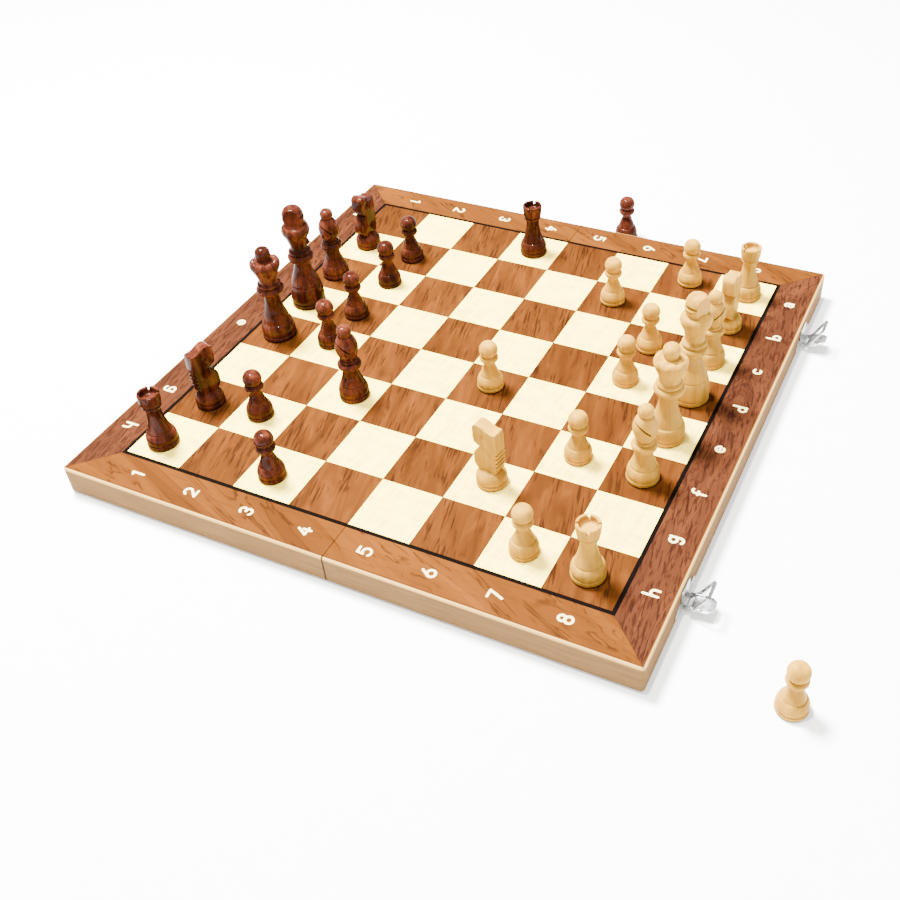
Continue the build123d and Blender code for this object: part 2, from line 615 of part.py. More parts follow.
def rook():
    """The rook: a cupped turret with two saw cuts across its rim."""
    man = turned(ROOK_TURNING)
    for angle in (0, 90):
        man -= Rot(0, 0, angle) * Pos(0, 0, 41.3) * Box(1.4, 20, 5.6)
    return man


def knight():
    """The knight: a sawn horse's head, flat on both sides, on a turned base."""
    edges = [
        Spline(*KNIGHT_CHEST),
        Spline(*KNIGHT_JAW),
        Line(KNIGHT_JAW[-1], KNIGHT_FACE[0]),
        Spline(*KNIGHT_FACE),
        Spline(*KNIGHT_POLL),
        Spline(*KNIGHT_MANE),
        Line(KNIGHT_MANE[-1], KNIGHT_CHEST[0]),
    ]
    head = extrude(Plane.XZ * make_face(edges), KNIGHT_HALF_THICK, both=True)
    head = head & Pos(0, 0, 30) * Cylinder(KNIGHT_BLANK_R, 60)
    for height in MANE_CUTS:
        head -= Pos(-8.0, 0, height) * Rot(0, 35, 0) * Box(3.4, 20, 0.8)
    for y in (-1, 1):
        ring = Cylinder(1.35, 0.8) - Cylinder(0.75, 0.8)
        head -= Pos(EYE[0], y * KNIGHT_HALF_THICK, EYE[1]) * Rot(90, 0, 0) * ring
    return turned(KNIGHT_TURNING) + head


def pawn():
    return turned(PAWN_TURNING)


MAKERS = {"king": king, "queen": queen, "bishop": bishop, "rook": rook, "knight": knight, "pawn": pawn}


# ------------------------------------------------------------------ assembly

def save(name, shape):
    """Writes one node, a single solid or a group of separate ones."""
    if isinstance(shape, list):
        shape = Compound(children=shape)
    export_step(shape, "parts/" + name + ".step")


def save_half(word, side):
    envelope = half_envelope(side)
    room = panel_room(side)
    end, sides = wall_blanks(side)
    end_wall = (end & envelope) - room
    fixings = hinge_screws(side)
    for y in LATCH_Y.values():
        holes = wall_screws(LATCH_EAR_Z if side > 0 else KEEPER_EAR_Z, 0)
        place = on_right_wall if side > 0 else on_left_wall
        for hole in holes:
            end_wall -= place(hole, y)
        shown = wall_screws(LATCH_EAR_Z if side > 0 else KEEPER_EAR_Z)
        fixings += [place(made, y) for made in shown]
    x0, x1 = side_x(side, SEAM_HALF, VENEER_HALF)
    side_walls = [(blank & envelope) - room for blank in sides]
    save(word + "_walls", [end_wall] + side_walls + [seam_wall(side)])
    save(word + "_panel", slab(x0, x1, -VENEER_HALF, VENEER_HALF, PANEL_LOW, PANEL_TOP))
    save(word + "_border_veneer", border_veneer(side))
    save(word + "_inlay_line", inlay_line(side))
    save(word + "_light_squares", squares(side, 0))
    save(word + "_dark_squares", squares(side, 1))
    save(word + "_labels", labels(side))
    save(word + "_lining", lining(side))
    save(word + "_hinge_leaves", [hinge_leaf(side, y) for y in HINGE_Y])
    save(word + "_screws", fixings)


def save_latches():
    plates = [on_right_wall(latch_plate(), y) for y in LATCH_Y.values()]
    pins = [on_right_wall(latch_pin(), y) for y in LATCH_Y.values()]
    save("latch_plates", plates + pins)
    save("latch_keepers", [on_left_wall(keeper(), y) for y in LATCH_Y.values()])
    for end, y in LATCH_Y.items():
        save("latch_lever_" + end, on_right_wall(latch_lever(LEVER_REST[end]), y))
        save("latch_bail_" + end, on_right_wall(latch_bail(LEVER_REST[end]), y))


def save_men():
    shapes = {kind: (make(), felt_pad(kind)) for kind, make in MAKERS.items()}
    for name, (kind, i, j, nudge_x, nudge_y, heading) in {**DARK_MEN, **LIGHT_MEN}.items():
        x, y = square_centre(i, j)
        place = Pos(x + nudge_x, y + nudge_y, TOP_Z) * Rot(0, 0, heading)
        save(name, [place * solid for solid in shapes[kind]])
    for name, (x, y) in TAKEN_PAWNS.items():
        save(name, [Pos(x, y, 0) * solid for solid in shapes["pawn"]])


def main():
    os.makedirs("parts", exist_ok=True)
    save_half("left", -1)
    save_half("right", 1)
    save("hinge_pins", hinge_pins())
    save_latches()
    save_men()


main()
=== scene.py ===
import math

import bpy
from mathutils import Matrix, Quaternion, Vector

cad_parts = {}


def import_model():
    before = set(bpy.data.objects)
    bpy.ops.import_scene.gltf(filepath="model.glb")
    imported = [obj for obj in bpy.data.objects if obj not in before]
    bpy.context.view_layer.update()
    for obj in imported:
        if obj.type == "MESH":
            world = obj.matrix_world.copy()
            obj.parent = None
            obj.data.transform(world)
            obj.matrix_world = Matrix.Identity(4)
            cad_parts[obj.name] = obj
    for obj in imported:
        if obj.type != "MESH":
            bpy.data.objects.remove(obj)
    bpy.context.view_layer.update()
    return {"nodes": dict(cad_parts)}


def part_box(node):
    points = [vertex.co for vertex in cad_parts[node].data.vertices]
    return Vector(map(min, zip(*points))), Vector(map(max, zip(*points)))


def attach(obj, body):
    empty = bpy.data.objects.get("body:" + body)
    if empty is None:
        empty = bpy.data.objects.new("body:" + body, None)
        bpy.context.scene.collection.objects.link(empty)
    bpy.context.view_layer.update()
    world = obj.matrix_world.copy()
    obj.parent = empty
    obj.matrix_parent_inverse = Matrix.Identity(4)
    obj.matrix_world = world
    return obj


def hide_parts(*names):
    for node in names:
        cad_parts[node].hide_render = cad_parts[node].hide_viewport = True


# A folding chess board open flat with its men in mid-game, on a white table under soft studio light.
# Metres, in the CAD's own frame: +X along the numbered edges, +Y along the fold, +Z up.

# Camera, fitted to the photo
FOCAL_MM = 43.5
SENSOR_MM = 36.0
SHIFT = (-0.054, -0.0036)
CAMERA_AZIMUTH = 28.2         # round from straight in front, in degrees
CAMERA_ELEVATION = 42.05
CAMERA_ROLL = 3.83
CAMERA_DISTANCE = 0.683
AIM = (0.053, -0.071)         # where the lens points on the board's top

# Studio
FLOOR_SIZE = 40.0
FLOOR_DROP = 0.0002           # the floor lies this far under the board, so no faces coincide
FLOOR_GLOW = 0.5              # the sweep is lit through from below, as a white product table is
SKY_HEIGHTS = (0.25, 0.75)    # the sky brightens between these heights of the view direction
SKY_GLOWS = (1.2, 2.1)        # its strength below the first height and above the second
LAMPS = (                     # name, place, width, watts; both point at the board's middle
    ("key", (-0.63, 0.18, 1.72), 0.48, 430),      # casts the soft shadows to the right
    ("spark", (-0.05, -0.20, 1.9), 0.1, 75),      # puts the small glints on the varnish
)

# Board
SQUARE = 0.0415
MITRE_GAP = 0.00025           # the dark line at a mitre reaches this far to each side, along X
LIP_HIGHLIGHT_DEPTH = (0.0022, 0.0014)  # the painted highlight along the walls' rounded top edge fades in between these depths under the wall's top
LEDGE_WIDTH = (0.0013, 0.0009)    # the veneer tint on the wall's top fades out this far from its edge
LEDGE_DEPTH = (0.0004, 0.0002)
SEAM_SHADE = (0.0003, 0.0008)     # the halves' meeting faces are dark this far from the seam
BOARD_SHEEN = 0.005           # the varnish's specular level, low because the studio is so bright

# Softened edges: widths in metres, angles in degrees
LATCH_ROUNDING = 0.00012
BOARD_ROUNDING = 0.00015
KNIGHT_ROUNDING = 0.0005
ROUNDED_FROM = 32             # edges sharper than this are rounded
BOARD_CREASE = 30             # edges sharper than this stay crisp when shaded
MEN_CREASE = 34
WELD = 0.000001


# Turned outlines of the men in millimetres, from the wood's foot up: (radius, height).
# The points between two "edge" marks lie on one smooth curve, or on a straight line if they are two.
# The first point is where the wood's underside ends, so a mark always follows it.
KING_TURNING = (
    (11.9, 0.6), "edge", (12.3, 1.0), "edge", (12.3, 3.2), "edge",
    (11.6, 3.9), "edge",
    (12.15, 4.6), (12.3, 7.5), (11.7, 13.6), (10.9, 17.0), "edge",
    (10.3, 17.5), "edge",
    (10.55, 18.1), (9.6, 21.5), (8.0, 25.6), (6.5, 30.0), (5.75, 33.2), (5.7, 35.5), "edge",
    (6.6, 36.6), (8.6, 38.0), (9.35, 39.9), (9.0, 41.4), (7.9, 42.4), "edge",
    (7.0, 43.0), "edge",
    (7.9, 43.9), (7.9, 45.1), (7.0, 46.1), "edge",
    (6.1, 47.0), (6.1, 49.5), (7.7, 55.5), (9.2, 58.7), (10.1, 61.6), (9.5, 64.3), (8.2, 65.3), "edge",
    (6.5, 65.8), "edge",
    (6.5, 66.8), (7.5, 69.2), (7.9, 71.8), (7.6, 74.6), (6.5, 77.3), (4.4, 79.3), (0, 80.0),
)
QUEEN_TURNING = (
    (11.6, 0.6), "edge", (12.0, 1.0), "edge", (12.0, 3.0), "edge",
    (11.2, 3.7), "edge",
    (11.7, 4.4), (11.8, 7.0), (11.4, 10.0), (10.7, 12.2), "edge",
    (9.8, 12.7), "edge",
    (9.6, 13.4), (8.7, 17.0), (7.3, 21.4), (6.3, 25.4), (5.6, 30.0), (5.5, 34.3), "edge",
    (6.5, 35.6), (8.6, 36.9), (9.7, 38.8), (9.3, 40.4), (8.3, 41.3), "edge",
    (7.3, 41.8), "edge",
    (8.0, 42.6), (8.2, 43.7), (7.4, 44.8), "edge",
    (6.6, 45.6), (6.9, 48.5), (8.2, 52.5), (9.6, 55.6), (10.5, 58.2), (10.3, 60.6),
    (9.0, 62.2), (7.4, 62.5), "edge",
    (5.6, 62.0), "edge", (4.6, 62.2), "edge",
    (4.4, 63.4), (5.1, 65.4), (5.3, 67.4), (4.7, 69.8), (2.9, 71.4), (0, 72.0),
)
BISHOP_TURNING = (
    (9.9, 0.6), "edge", (10.2, 1.0), "edge", (10.2, 3.0), "edge",
    (9.5, 3.7), "edge",
    (9.9, 4.3), (9.95, 6.5), (9.4, 9.0), (8.7, 10.6), "edge",
    (7.9, 11.1), "edge",
    (8.1, 11.8), (7.5, 13.6), (6.5, 16.2), (5.7, 19.0), (5.3, 22.0), (5.4, 23.4), "edge",
    (6.2, 24.1), (7.5, 25.1), (7.9, 26.7), (7.5, 28.2), (6.4, 29.0), "edge",
    (5.5, 29.4), "edge",
    (6.1, 30.1), (6.0, 30.9), (5.0, 31.6), "edge",
    (5.2, 32.4), (6.3, 34.6), (7.2, 37.4), (7.5, 40.4), (7.2, 43.4), (6.3, 46.2), (5.0, 48.4),
    (3.9, 49.6), "edge",
    (4.5, 50.7), (4.8, 52.4), (4.3, 54.6), (2.8, 56.1), (0, 56.6),
)
ROOK_TURNING = (
    (9.9, 0.6), "edge", (10.2, 1.0), "edge", (10.2, 3.2), "edge",
    (9.5, 3.9), "edge",
    (9.9, 4.5), (10.0, 6.6), (9.5, 8.8), (8.6, 10.6), "edge",
    (7.7, 11.2), "edge",
    (7.8, 12.0), (7.0, 14.4), (6.0, 18.0), (5.1, 22.4), (4.7, 26.0), (4.9, 29.4), "edge",
    (5.8, 30.2), (6.2, 31.1), (5.8, 32.0), "edge",
    (5.5, 32.3), "edge",
    (6.4, 33.1), (6.8, 34.6), (7.1, 37.6), (7.2, 40.2), "edge",
    (7.1, 41.0), "edge", (6.8, 41.3), "edge", (5.7, 41.3), "edge",
    (5.3, 40.4), (5.2, 38.6), (4.2, 37.2), (0, 36.8),
)
PAWN_TURNING = (
    (8.6, 0.6), "edge", (8.95, 1.0), "edge", (8.95, 2.6), "edge",
    (8.3, 3.2), "edge",
    (8.7, 3.8), (8.8, 5.4), (8.4, 7.4), (7.6, 9.3), (7.2, 10.0), "edge",
    (6.5, 10.4), "edge",
    (5.9, 12.6), (4.9, 15.4), (4.0, 17.8), (3.6, 19.6), "edge",
    (3.9, 20.6), (5.0, 21.8), (6.0, 23.2), (6.2, 24.8), (5.3, 26.2), "edge",
    (4.6, 26.6), "edge",
    (5.3, 27.4), (6.1, 29.4), (6.0, 31.8), (4.7, 34.4), (2.8, 35.6), (0, 36.0),
)
KNIGHT_TURNING = (
    (9.4, 0.6), "edge", (9.7, 1.0), "edge", (9.7, 3.0), "edge",
    (9.0, 3.6), "edge",
    (9.4, 4.2), (9.6, 5.9), (9.2, 7.8), (8.1, 9.5), (6.2, 10.9), (0, 12.0),
)
TURNINGS = {
    "king": KING_TURNING,
    "queen": QUEEN_TURNING,
    "bishop": BISHOP_TURNING,
    "rook": ROOK_TURNING,
    "pawn": PAWN_TURNING,
    "knight": KNIGHT_TURNING,
}

# The knight's sawn outline, round from the chest to the mane: (forward, height)
KNIGHT_CHEST = ((4.2, 10.6), (6.8, 12.4), (8.9, 16.0), (9.4, 19.8), (8.6, 23.4), (6.4, 27.2), (3.4, 29.6))
KNIGHT_JAW = ((3.4, 29.6), (4.9, 30.4), (7.2, 31.5), (8.9, 33.4))
KNIGHT_FACE = ((8.3, 34.2), (9.6, 36.4), (9.8, 39.4), (9.2, 42.6), (7.6, 44.8), (5.2, 45.6))
KNIGHT_POLL = ((5.2, 45.6), (2.4, 44.8), (-0.8, 43.2), (-3.8, 42.3), (-6.9, 42.4))
KNIGHT_MANE = (
    (-6.9, 42.4), (-7.6, 40.4), (-7.8, 34.0), (-8.0, 24.0), (-7.9, 17.0), (-6.6, 12.6), (-4.2, 10.6),
)
KNIGHT_OUTLINE = (KNIGHT_CHEST, KNIGHT_JAW, KNIGHT_FACE, KNIGHT_POLL, KNIGHT_MANE)
KNIGHT_HALF_THICK = 4.2
KNIGHT_BLANK_R = 9.8
KNIGHT_BLANK_HEIGHTS = (5.0, 55.0)
MANE_CUTS = (15.5, 18.5, 21.5, 24.5, 27.5)
MANE_CUT_SIZE = (3.4, 20, 0.8)
MANE_CUT_AT = -8.0
MANE_CUT_SLANT = 35
EYE = (2.6, 37.6)
EYE_RING_R = (0.75, 1.35)
EYE_DEPTH = 0.5
EYE_AROUND = 24

# Cuts and flats of the other men, in millimetres and degrees
KING_FLAT = 5.2               # the finial's flats are this far from its axis
KING_FLATS_FROM = 66.4
KING_NOTCH = (5.0, 73.0)      # the notch's half width at its deepest, and its height
KING_NOTCH_FLARE = 2.0
QUEEN_SCALLOPS = 8
SCALLOP_DEPTH = 0.9
CORONET_FROM = 57.0
CORONET_RISE = 5.0            # the scallops reach their full depth over this height
CORONET_INNER_R = 6.3
BISHOP_CUT = (13, 20, 1.1)
BISHOP_CUT_AT = (3.9, 0, 43.3)
BISHOP_CUT_SLANT = -41
ROOK_SAW = (1.4, 20, 5.6)
ROOK_SAW_AT = (0, 0, 41.3)

MM = 0.001
AROUND = 72                   # facets round a turned man
STEP = 0.45                   # longest step along an outline
CHAMFER = 0.12                # at a crisp edge
FELT = 0.6                    # thickness of the pad under a man
FELT_INSET = 0.5              # the pad's rim lies this far inside the foot's

# Which way each man's face, flat or cut looks, in degrees from +X.
HEADINGS = {
    "dark_rook_h": 35, "dark_rook_a": 10, "light_rook_h": 20, "light_rook_a": 60,
    "dark_knight_g": 70, "dark_knight_b": -95, "light_knight_g": 171, "light_knight_b": -92,
    "dark_bishop_c": -140, "dark_bishop_f": -140, "light_bishop_f": -140, "light_bishop_c": 20,
    "dark_king": -68, "light_king": -25,
}


def main():
    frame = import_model()
    nodes = frame["nodes"]
    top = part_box("left_border_veneer")[1].z
    smooth_nodes(nodes)
    finish_board(nodes)
    finish_metal(nodes)
    add_men(nodes)
    add_studio()
    add_camera(top)


# ------------------------------------------------------------------ helpers

class Graph:
    """Builds one material's node graph; every call adds a node and returns its output socket."""

    def __init__(self, name):
        self.material = bpy.data.materials.new(name)
        self.material.use_nodes = True
        self.tree = self.material.node_tree
        self.tree.nodes.clear()
        self.shader = self.tree.nodes.new("ShaderNodeBsdfPrincipled")
        out = self.tree.nodes.new("ShaderNodeOutputMaterial")
        self.tree.links.new(self.shader.outputs[0], out.inputs[0])
        self.place = self.add("ShaderNodeTexCoord", "Object")

    def add(self, kind, output, inputs=(), **settings):
        node = self.tree.nodes.new(kind)
        for key, value in settings.items():
            setattr(node, key, value)
        for key, value in dict(inputs).items():
            self.set(node.inputs[key], value)
        return node.outputs[output]

    def set(self, socket, value):
        if isinstance(value, bpy.types.NodeSocket):
            self.tree.links.new(value, socket)
        else:
            whole = isinstance(value, tuple) and len(value) == 3 and socket.type == "RGBA"
            socket.default_value = (*value, 1.0) if whole else value

    def math(self, operation, a, b=0.0):
        return self.add("ShaderNodeMath", 0, {0: a, 1: b}, operation=operation)

    def vector(self, operation, a, b):
        return self.add("ShaderNodeVectorMath", 0, {0: a, 1: b}, operation=operation)

    def axes(self, vector):
        node = self.tree.nodes.new("ShaderNodeSeparateXYZ")
        self.set(node.inputs[0], vector)
        return node.outputs

    def joined(self, x, y, z):
        return self.add("ShaderNodeCombineXYZ", 0, {0: x, 1: y, 2: z})

    def stretched(self, vector, x, y, z):
        """The vector scaled on each axis: a small factor draws the pattern out along that axis."""
        return self.add("ShaderNodeMapping", 0, {"Vector": vector, "Scale": (x, y, z)})

    def rotated(self, vector, degrees):
        """The vector turned about Z."""
        turn = (0, 0, math.radians(degrees))
        return self.add("ShaderNodeMapping", 0, {"Vector": vector, "Rotation": turn})

    def noise(self, vector, scale, detail=3.0, rough=0.5, warp=0.0):
        inputs = {"Vector": vector, "Scale": scale, "Detail": detail}
        inputs |= {"Roughness": rough, "Distortion": warp}
        return self.add("ShaderNodeTexNoise", "Fac", inputs)

    def ramp(self, factor, *stops):
        """Colours blended between the given positions."""
        node = self.tree.nodes.new("ShaderNodeValToRGB")
        self.set(node.inputs[0], factor)
        marks = node.color_ramp.elements
        while len(marks) < len(stops):
            marks.new(0.5)
        for mark, (position, colour) in zip(marks, stops):
            mark.position = position
            mark.color = (*colour, 1.0)
        return node.outputs[0]

    def between(self, factor, low, high, out_low=0.0, out_high=1.0):
        """The factor's way from low to high, told as out_low to out_high and held at both ends."""
        inputs = {"Value": factor, "From Min": low, "From Max": high}
        inputs |= {"To Min": out_low, "To Max": out_high}
        return self.add("ShaderNodeMapRange", 0, inputs)

    def blend(self, factor, a, b, mode="MIX"):
        node = self.tree.nodes.new("ShaderNodeMix")
        node.data_type = "RGBA"
        node.blend_type = mode
        self.set(node.inputs[0], factor)
        self.set(node.inputs[6], a)
        self.set(node.inputs[7], b)
        return node.outputs[2]

    def shaded(self, colour, factor):
        """The colour made darker or lighter by a factor."""
        return self.blend(1.0, colour, self.joined(factor, factor, factor), "MULTIPLY")

    def bump(self, height, strength, distance):
        inputs = {"Height": height, "Strength": strength, "Distance": distance}
        return self.add("ShaderNodeBump", 0, inputs)

    def finish(self, colour, roughness, normal=None, **uniform):
        """Links the varying channels and sets the uniform ones on the shader itself."""
        self.set(self.shader.inputs["Base Color"], colour)
        self.set(self.shader.inputs["Roughness"], roughness)
        if normal is not None:
            self.set(self.shader.inputs["Normal"], normal)
        for key, value in uniform.items():
            self.shader.inputs[key.replace("_", " ")].default_value = value
        return self.material


def dress(node, *materials):
    node.data.materials.clear()
    for material in materials:
        node.data.materials.append(material)


# ------------------------------------------------------------------ wood of the board

def veneer_cells(graph):
    """A random value and a random shift for each square of the board."""
    cell = graph.vector("SNAP", graph.vector("ADD", graph.place, (0, 0, 1)), (SQUARE, SQUARE, 1))
    random = graph.add("ShaderNodeTexWhiteNoise", 1, {"Vector": cell}, noise_dimensions="3D")
    value = graph.add("ShaderNodeTexWhiteNoise", 0, {"Vector": cell}, noise_dimensions="3D")
    shift = graph.vector("MULTIPLY", random, (1.7, 1.7, 0))
    return value, graph.vector("ADD", graph.place, shift)


def dark_square_wood():
    """Brown veneer with patches of short dark streaks, cut afresh for each square."""
    graph = Graph("dark_square_wood")
    value, place = veneer_cells(graph)
    deep, middle, pale = (0.033, 0.0096, 0.0018), (0.052, 0.0152, 0.0026), (0.074, 0.0220, 0.0036)
    streak_colour = (0.0105, 0.0032, 0.0014)
    slanted = graph.rotated(place, -14)
    streak = graph.noise(graph.stretched(slanted, 1, 0.075, 1), 680, 3, 0.5, 0.3)
    patch = graph.noise(graph.stretched(slanted, 1, 0.45, 1), 55, 2, 0.5, 0.9)
    figure = graph.noise(graph.stretched(slanted, 1, 0.2, 1), 120, 3, 0.55, 0.8)
    base = graph.ramp(figure, (0.30, deep), (0.52, middle), (0.72, pale))
    streaked = graph.math("MULTIPLY", graph.between(streak, 0.53, 0.59), graph.between(patch, 0.44, 0.56))
    colour = graph.blend(graph.math("MULTIPLY", streaked, 0.72), base, streak_colour)
    colour = graph.shaded(colour, graph.between(value, 0, 1, 0.88, 1.1))
    rough = graph.between(streak, 0.3, 0.7, 0.42, 0.55)
    return graph.finish(colour, rough, graph.bump(streak, 0.06, 0.0002), Specular_IOR_Level=BOARD_SHEEN)


def light_square_wood():
    """Cream maple veneer with a faint ripple."""
    graph = Graph("light_square_wood")
    value, place = veneer_cells(graph)
    deep, middle, pale = (0.68, 0.49, 0.075), (0.86, 0.65, 0.10), (0.94, 0.74, 0.135)
    slanted = graph.rotated(place, 6)
    grain = graph.noise(graph.stretched(slanted, 1, 0.08, 1), 420, 3, 0.5, 0.2)
    ripple = graph.noise(graph.stretched(slanted, 0.5, 1.6, 1), 90, 2, 0.5, 0.8)
    mixed = graph.math("ADD", graph.math("MULTIPLY", grain, 0.5), graph.math("MULTIPLY", ripple, 0.5))
    base = graph.ramp(mixed, (0.34, deep), (0.52, middle), (0.66, pale))
    colour = graph.shaded(base, graph.between(value, 0, 1, 0.955, 1.0))
    rough = graph.between(grain, 0.3, 0.7, 0.45, 0.55)
    return graph.finish(colour, rough, graph.bump(grain, 0.04, 0.0002), Specular_IOR_Level=BOARD_SHEEN)


def numbered_veneer(graph):
    """Wavy orange-brown veneer, with thin dark veins that come and go."""
    deep, middle, pale = (0.050, 0.0148, 0.0024), (0.070, 0.0212, 0.0032), (0.092, 0.0290, 0.0042)
    vein_colour, fleck_colour = (0.013, 0.0040, 0.0014), (0.0250, 0.0080, 0.0018)
    fleck = graph.noise(graph.stretched(graph.place, 0.05, 1, 1), 800, 3, 0.6)
    slanted = graph.rotated(graph.place, 24)
    wave = graph.noise(graph.stretched(slanted, 0.16, 1, 1), 40, 4, 0.6, 0.8)
    gaps = graph.noise(graph.stretched(slanted, 0.5, 1, 1), 110, 2, 0.5)
    lines = graph.math("FRACT", graph.math("MULTIPLY", wave, 8.0))
    vein = graph.math("MULTIPLY", graph.between(lines, 0.80, 0.97), graph.between(gaps, 0.38, 0.5))
    colour = graph.ramp(wave, (0.32, deep), (0.5, middle), (0.68, pale))
    colour = graph.blend(graph.math("MULTIPLY", vein, 0.7), colour, vein_colour)
    return graph.blend(graph.between(fleck, 0.55, 0.68, 0, 0.35), colour, fleck_colour)


def lettered_veneer(graph, pores):
    """Redder veneer with darker swirls and open pores."""
    deep, middle, pale = (0.029, 0.0090, 0.0040), (0.041, 0.0126, 0.0050), (0.057, 0.0178, 0.0064)
    swirl_colour, pore_colour = (0.014, 0.0042, 0.0022), (0.0105, 0.0032, 0.0019)
    swirl = graph.noise(graph.stretched(graph.place, 1, 0.25, 1), 60, 3, 0.5, 1.6)
    lines = graph.math("FRACT", graph.math("MULTIPLY", swirl, 9.0))
    band = graph.between(lines, 0.66, 0.95)
    colour = graph.ramp(swirl, (0.3, deep), (0.5, middle), (0.7, pale))
    colour = graph.blend(graph.math("MULTIPLY", band, 0.7), colour, swirl_colour)
    return graph.blend(graph.between(pores, 0.53, 0.60, 0, 0.75), colour, pore_colour)


def border_wood():
    """Border veneer, which changes at the mitres and shows a thin dark line there."""
    graph = Graph("border_wood")
    mitre_colour = (0.00947, 0.00382, 0.00185)
    x, y, _ = graph.axes(graph.place)
    over = graph.math("SUBTRACT", graph.math("ABSOLUTE", x), graph.math("ABSOLUTE", y))
    at_end = graph.between(over, -0.0001, 0.0001)
    leaning = graph.rotated(graph.place, -9)
    pores = graph.noise(graph.stretched(leaning, 1, 0.11, 1), 620, 3, 0.55, 0.5)
    colour = graph.blend(at_end, numbered_veneer(graph), lettered_veneer(graph, pores))
    near_mitre = graph.math("LESS_THAN", graph.math("ABSOLUTE", over), MITRE_GAP)
    colour = graph.blend(graph.math("MULTIPLY", near_mitre, 0.55), colour, mitre_colour)
    rough = graph.between(pores, 0.3, 0.7, 0.4, 0.52)
    return graph.finish(colour, rough, graph.bump(pores, 0.08, 0.0002), Specular_IOR_Level=BOARD_SHEEN)


def wall_wood(edge, top):
    """Pale close-grained softwood, with grain along each wall, and a painted highlight along their rounded
    top edge.

    edge is how far out the walls reach on each side, and top is the height of their top.
    """
    graph = Graph("wall_wood")
    deep, middle, pale = (0.098, 0.053, 0.0210), (0.122, 0.067, 0.0260), (0.150, 0.084, 0.0320)
    warm, lip_highlight_colour = (0.13, 0.067, 0.026), (0.42, 0.25, 0.075)
    veneer_tint, seam_colour = (0.052, 0.0156, 0.0030), (0.012, 0.007, 0.004)
    x, y, z = graph.axes(graph.place)
    along = graph.math("ADD", graph.math("MULTIPLY", x, 0.06), graph.math("MULTIPLY", y, 0.06))
    grain = graph.noise(graph.joined(along, z, 0.0), 520, 4, 0.6, 0.4)
    broad = graph.noise(graph.stretched(graph.place, 1, 1, 2.5), 22, 2)
    base = graph.ramp(grain, (0.3, deep), (0.5, middle), (0.7, pale))
    colour = graph.blend(graph.between(broad, 0.35, 0.65, 0, 0.35), base, warm)
    # painted highlight: a paler band just under the walls' top stands in for the light the rounded edge
    # catches
    lip_highlight = graph.between(z, top - LIP_HIGHLIGHT_DEPTH[0], top - LIP_HIGHLIGHT_DEPTH[1])
    colour = graph.blend(lip_highlight, colour, lip_highlight_colour)
    outward = graph.math("MAXIMUM", graph.math("ABSOLUTE", x), graph.math("ABSOLUTE", y))
    inside = graph.between(outward, edge - LEDGE_WIDTH[0], edge - LEDGE_WIDTH[1], 1, 0)
    on_top = graph.between(z, top - LEDGE_DEPTH[0], top - LEDGE_DEPTH[1])
    colour = graph.blend(graph.math("MULTIPLY", inside, on_top), colour, veneer_tint)
    seam = graph.between(graph.math("ABSOLUTE", x), *SEAM_SHADE, 0.9, 0.0)
    colour = graph.blend(seam, colour, seam_colour)
    rough = graph.between(grain, 0.3, 0.7, 0.5, 0.62)
    return graph.finish(colour, rough, graph.bump(grain, 0.08, 0.0003), Specular_IOR_Level=BOARD_SHEEN)


def panel_wood():
    """Bare ply, seen in the joints and from below."""
    graph = Graph("panel_wood")
    grain = graph.noise(graph.stretched(graph.place, 1, 0.07, 1), 300, 4, 0.6, 0.5)
    colour = graph.ramp(grain, (0.3, (0.012, 0.00545, 0.00277)), (0.7, (0.0223, 0.011, 0.00537)))
    return graph.finish(colour, graph.between(grain, 0.3, 0.7, 0.6, 0.75), Specular_IOR_Level=BOARD_SHEEN)


def inlay_wood():
    """Dyed black stringing."""
    graph = Graph("inlay_wood")
    grain = graph.noise(graph.place, 900, 3, 0.6)
    colour = graph.ramp(grain, (0.35, (0.0012, 0.000819, 0.0008)), (0.65, (0.00315, 0.00212, 0.00161)))
    return graph.finish(colour, graph.between(grain, 0.3, 0.7, 0.5, 0.65), Specular_IOR_Level=0.002)


def label_ink():
    """Cream ink, a little thin in places."""
    graph = Graph("label_ink")
    wear = graph.noise(graph.place, 1500, 3, 0.6)
    colour = graph.ramp(wear, (0.3, (0.50, 0.40, 0.17)), (0.6, (0.72, 0.60, 0.28)))
    return graph.finish(colour, graph.between(wear, 0.3, 0.7, 0.5, 0.7), Specular_IOR_Level=BOARD_SHEEN)


def felt():
    """Dark green baize with loose fibres."""
    graph = Graph("felt")
    fibre = graph.noise(graph.place, 2600, 4, 0.7, 0.8)
    colour = graph.ramp(fibre, (0.3, (0.000904, 0.00328, 0.00175)), (0.7, (0.00269, 0.00966, 0.00477)))
    normal = graph.bump(fibre, 0.5, 0.0003)
    return graph.finish(colour, graph.between(fibre, 0.3, 0.7, 0.85, 0.98), normal, Specular_IOR_Level=0.1)


def finish_board(nodes):
    looks = {
        "walls": wall_wood(*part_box("left_walls")[1].yz),
        "panel": panel_wood(),
        "border_veneer": border_wood(),
        "inlay_line": inlay_wood(),
        "light_squares": light_square_wood(),
        "dark_squares": dark_square_wood(),
        "labels": label_ink(),
        "lining": felt(),
    }
    for half in ("left", "right"):
        for part, material in looks.items():
            dress(nodes[half + "_" + part], material)


# ------------------------------------------------------------------ metal

def metal(name, dark, light, roughness):
    """Plated metal with a little uneven polish and faint marks."""
    graph = Graph(name)
    cloud = graph.noise(graph.place, 260, 3, 0.5)
    marks = graph.noise(graph.stretched(graph.place, 1, 1, 0.1), 3000, 2, 0.6)
    colour = graph.ramp(cloud, (0.35, dark), (0.65, light))
    uneven = graph.between(cloud, 0.3, 0.7, roughness, roughness + 0.12)
    gloss = graph.math("ADD", uneven, graph.between(marks, 0.5, 0.8, 0, 0.08))
    normal = graph.bump(marks, 0.05, 0.0001)
    return graph.finish(colour, gloss, normal, Metallic=1.0)


